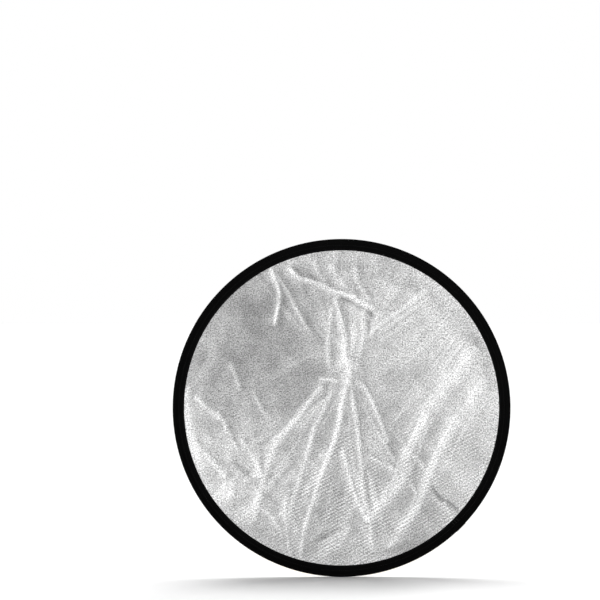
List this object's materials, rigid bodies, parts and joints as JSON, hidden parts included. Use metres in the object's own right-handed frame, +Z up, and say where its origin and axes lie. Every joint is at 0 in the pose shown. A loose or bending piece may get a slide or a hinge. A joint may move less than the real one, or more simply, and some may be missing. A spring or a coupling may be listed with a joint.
{
  "type": "collapsible reflector disc",
  "caption": "Round collapsible light reflector with a silver cloth face in front, a gold cloth face behind and a black bound rim round a spring steel hoop.",
  "frame": {"origin": "centre of the disc, midway between its two faces", "axes": "+Y along the disc's axis, out of the gold back, so the silver front faces -Y; +Z up and +X to the right seen from the silver side, with the disc standing upright"},
  "size_m": [0.5999, 0.0076, 0.6],
  "materials": {
    "silver_foil": "creased metallic foil on woven nylon",
    "gold_foil": "creased metallic foil on woven nylon",
    "black_tape": "matt woven polyester",
    "black_thread": "polyester thread",
    "spring_steel": "blued spring steel",
    "ferrule_steel": "zinc plated",
    "shrink_tube": "polyolefin shrink tube"
  },
  "bodies": {
    "left_half": {"binding_tape_left": "black_tape", "silver_face_left": "silver_foil", "gold_face_left": "gold_foil", "edge_seam_front_left": "black_thread", "edge_seam_back_left": "black_thread", "channel_seam_front_left": "black_thread", "channel_seam_back_left": "black_thread", "spring_strip_left_upper": "spring_steel", "spring_strip_left_lower": "spring_steel", "strip_ferrule": "ferrule_steel", "ferrule_wrap": "shrink_tube"},
    "right_half": {"binding_tape_right": "black_tape", "silver_face_right": "silver_foil", "gold_face_right": "gold_foil", "edge_seam_front_right": "black_thread", "edge_seam_back_right": "black_thread", "channel_seam_front_right": "black_thread", "channel_seam_back_right": "black_thread", "spring_strip_right": "spring_steel", "lap_tacks": "black_thread"}
  },
  "joints": [
    {"name": "flex", "type": "hinge", "parent": "left_half", "child": "right_half", "pos_m": [0, -0.0036, 0], "axis": [0, 0, -1], "range_deg": [0, 150], "stiffness_Nm_per_rad": 0.25}
  ]
}
